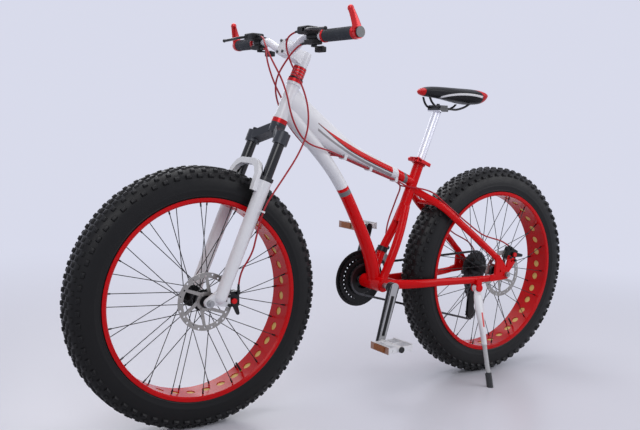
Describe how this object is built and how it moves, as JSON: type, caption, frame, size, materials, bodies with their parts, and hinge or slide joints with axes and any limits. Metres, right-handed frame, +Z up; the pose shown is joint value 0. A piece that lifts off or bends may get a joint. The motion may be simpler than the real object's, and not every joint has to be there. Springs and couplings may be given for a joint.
{
  "type": "fat tire bike",
  "caption": "Fat tyre mountain bike with drilled rims, disc brakes, suspension fork, swooping frame, chain gears and a folding side stand.",
  "frame": {"origin": "on the ground, midway between the two axles, in the bike's middle plane", "axes": "+X towards the rear wheel, +Y towards the chain side, +Z up"},
  "size_m": [1.825, 0.6584, 1.14],
  "materials": {
    "tyre_black": "matte moulded tread",
    "paint_white": "gloss paint",
    "paint_red": "gloss paint",
    "paint_black": "satin paint",
    "rim_red": "gloss paint",
    "strip_amber": "woven tape",
    "spoke_black": "satin paint",
    "steel": "brushed",
    "dark_chrome": "polished",
    "silver": "polished",
    "black_plastic": "moulded",
    "red_plastic": "moulded",
    "grip_rubber": "moulded",
    "saddle_cover": "smooth cover over foam",
    "amber_reflector": "prismatic",
    "cable_red": "extruded sheath",
    "red_anodised": "anodised"
  },
  "bodies": {
    "frame": {"head_tube": "paint_white", "top_tube": "paint_white", "down_tube": "paint_white", "seat_tube": "paint_red", "bottom_bracket_shell": "paint_red", "rear_triangle": "paint_red", "headset_cups": "red_anodised", "seat_clamp": "red_anodised", "front_derailleur": "paint_black", "rear_derailleur": "paint_black", "rear_caliper": "paint_black", "kickstand_mount": "red_plastic", "rear_axle": "steel", "chain": "steel", "control_cables": "cable_red"},
    "steering": {"fork_crown": "paint_black", "stanchions": "dark_chrome", "headset_spacers": "red_anodised", "stem": "paint_white", "handlebar": "silver", "grips": "grip_rubber", "bar_ends": "red_plastic", "control_pods": "black_plastic", "front_brake_cable": "cable_red"},
    "fork_slider": {"fork_lowers": "paint_white", "front_caliper": "paint_black", "front_axle": "steel"},
    "front_wheel": {"front_tyre": "tyre_black", "front_rim": "rim_red", "front_rim_strip": "strip_amber", "front_spokes": "spoke_black", "front_hub": "paint_black", "front_rotor": "steel"},
    "rear_wheel": {"rear_tyre": "tyre_black", "rear_rim": "rim_red", "rear_rim_strip": "strip_amber", "rear_spokes": "spoke_black", "rear_hub": "paint_black", "rear_rotor": "steel"},
    "freewheel": {"cassette": "steel"},
    "crank": {"crank_arm_left": "paint_black", "crank_arm_right": "paint_black", "chainrings": "paint_black", "crank_axle": "steel"},
    "left_pedal": {"pedal_left": "silver"},
    "right_pedal": {"pedal_right": "silver"},
    "left_brake_lever": {"brake_lever_left": "paint_black"},
    "right_brake_lever": {"brake_lever_right": "paint_black"},
    "left_shift_lever": {"shift_lever_left": "black_plastic"},
    "right_shift_lever": {"shift_lever_right": "black_plastic"},
    "lockout": {"lockout_dial": "black_plastic"},
    "front_brake": {"front_caliper_arm": "paint_black"},
    "rear_brake": {"rear_caliper_arm": "paint_black"},
    "front_changer": {"front_derailleur_cage": "steel"},
    "chain_tensioner": {"rear_derailleur_cage": "paint_black"},
    "side_stand": {"kickstand_leg": "paint_white"},
    "seat": {"seat_post": "silver", "saddle_rails": "paint_black", "saddle": "saddle_cover"},
    "seat_quick_release": {"seat_clamp_lever": "paint_black"}
  },
  "joints": [
    {"name": "steering_turn", "type": "hinge", "parent": "frame", "child": "steering", "pos_m": [-0.30502, 0, 0.84694], "axis": [0.3811, 0, 0.9245], "range_deg": [-65, 65], "deforming": ["control_cables", "front_brake_cable"]},
    {"name": "fork_travel", "type": "slide", "parent": "steering", "child": "fork_slider", "axis": [0.3811, 0, 0.9245], "range_m": [0, 0.06], "stiffness_N_per_m": 5000, "springref_m": -0.03, "deforming": ["front_brake_cable"]},
    {"name": "front_wheel_spin", "type": "hinge", "parent": "fork_slider", "child": "front_wheel", "pos_m": [-0.5515, 0, 0.361], "axis": [0, -1, 0], "continuous": true},
    {"name": "rear_wheel_spin", "type": "hinge", "parent": "frame", "child": "rear_wheel", "pos_m": [0.5515, 0, 0.361], "axis": [0, -1, 0], "continuous": true},
    {"name": "crank_spin", "type": "hinge", "parent": "frame", "child": "crank", "pos_m": [0.057, 0, 0.354], "axis": [0, -1, 0], "continuous": true, "deforming": ["chain"]},
    {"name": "freewheel_spin", "type": "hinge", "parent": "frame", "child": "freewheel", "pos_m": [0.5515, 0, 0.361], "axis": [0, -1, 0], "continuous": true, "deforming": ["chain"]},
    {"name": "pedal_left_spin", "type": "hinge", "parent": "crank", "child": "left_pedal", "pos_m": [0.01472, -0.155, 0.18934], "axis": [0, 1, 0], "continuous": true},
    {"name": "pedal_right_spin", "type": "hinge", "parent": "crank", "child": "right_pedal", "pos_m": [0.09928, 0.155, 0.51866], "axis": [0, 1, 0], "continuous": true},
    {"name": "brake_lever_left_squeeze", "type": "hinge", "parent": "steering", "child": "left_brake_lever", "pos_m": [-0.32464, -0.162, 1.08653], "axis": [0, 0, 1], "range_deg": [0, 16], "stiffness_Nm_per_rad": 0.4, "springref_deg": -11.46},
    {"name": "brake_lever_right_squeeze", "type": "hinge", "parent": "steering", "child": "right_brake_lever", "pos_m": [-0.32464, 0.162, 1.08653], "axis": [0, 0, -1], "range_deg": [0, 16], "stiffness_Nm_per_rad": 0.4, "springref_deg": -11.46},
    {"name": "front_brake_arm_pull", "type": "hinge", "parent": "fork_slider", "child": "front_brake", "pos_m": [-0.47641, -0.0688, 0.35962], "axis": [0, -1, 0], "range_deg": [0, 12]},
    {"name": "rear_brake_arm_pull", "type": "hinge", "parent": "frame", "child": "rear_brake", "pos_m": [0.58797, -0.0968, 0.42666], "axis": [0, -1, 0], "range_deg": [0, 12]},
    {"name": "shift_lever_left_push", "type": "hinge", "parent": "steering", "child": "left_shift_lever", "pos_m": [-0.29164, -0.146, 1.04853], "axis": [0, 0, 1], "range_deg": [0, 30], "stiffness_Nm_per_rad": 0.2, "springref_deg": -11.46},
    {"name": "shift_lever_right_push", "type": "hinge", "parent": "steering", "child": "right_shift_lever", "pos_m": [-0.29164, 0.146, 1.04853], "axis": [0, 0, -1], "range_deg": [0, 30], "stiffness_Nm_per_rad": 0.2, "springref_deg": -11.46},
    {"name": "lockout_turn", "type": "hinge", "parent": "steering", "child": "lockout", "pos_m": [-0.33729, 0.077, 0.8159], "axis": [0.3811, 0, 0.9245], "range_deg": [0, 90]},
    {"name": "front_changer_shift", "type": "slide", "parent": "frame", "child": "front_changer", "axis": [0, 1, 0], "range_m": [0, 0.014], "deforming": ["chain"]},
    {"name": "chain_tensioner_swing", "type": "hinge", "parent": "frame", "child": "chain_tensioner", "pos_m": [0.548, 0.0575, 0.27], "axis": [0, -1, 0], "range_deg": [-30, 45], "stiffness_Nm_per_rad": 1, "deforming": ["chain"]},
    {"name": "side_stand_fold", "type": "hinge", "parent": "frame", "child": "side_stand", "pos_m": [0.428, -0.088, 0.321], "axis": [0, -0.9903, 0.1392], "range_deg": [0, 85]},
    {"name": "seat_height", "type": "slide", "parent": "frame", "child": "seat", "axis": [0.3616, 0, 0.9323], "range_m": [-0.045, 0.08]},
    {"name": "seat_lever_open", "type": "hinge", "parent": "frame", "child": "seat_quick_release", "pos_m": [0.19564, -0.022, 0.74552], "axis": [-0.3616, 0, -0.9323], "range_deg": [0, 170]}
  ],
  "couplings": [
    {"joint": "freewheel_spin", "follows": "crank_spin", "ratio": 0.85714},
    {"joint": "front_brake_arm_pull", "follows": "brake_lever_left_squeeze", "ratio": 0.75},
    {"joint": "rear_brake_arm_pull", "follows": "brake_lever_right_squeeze", "ratio": 0.75}
  ]
}
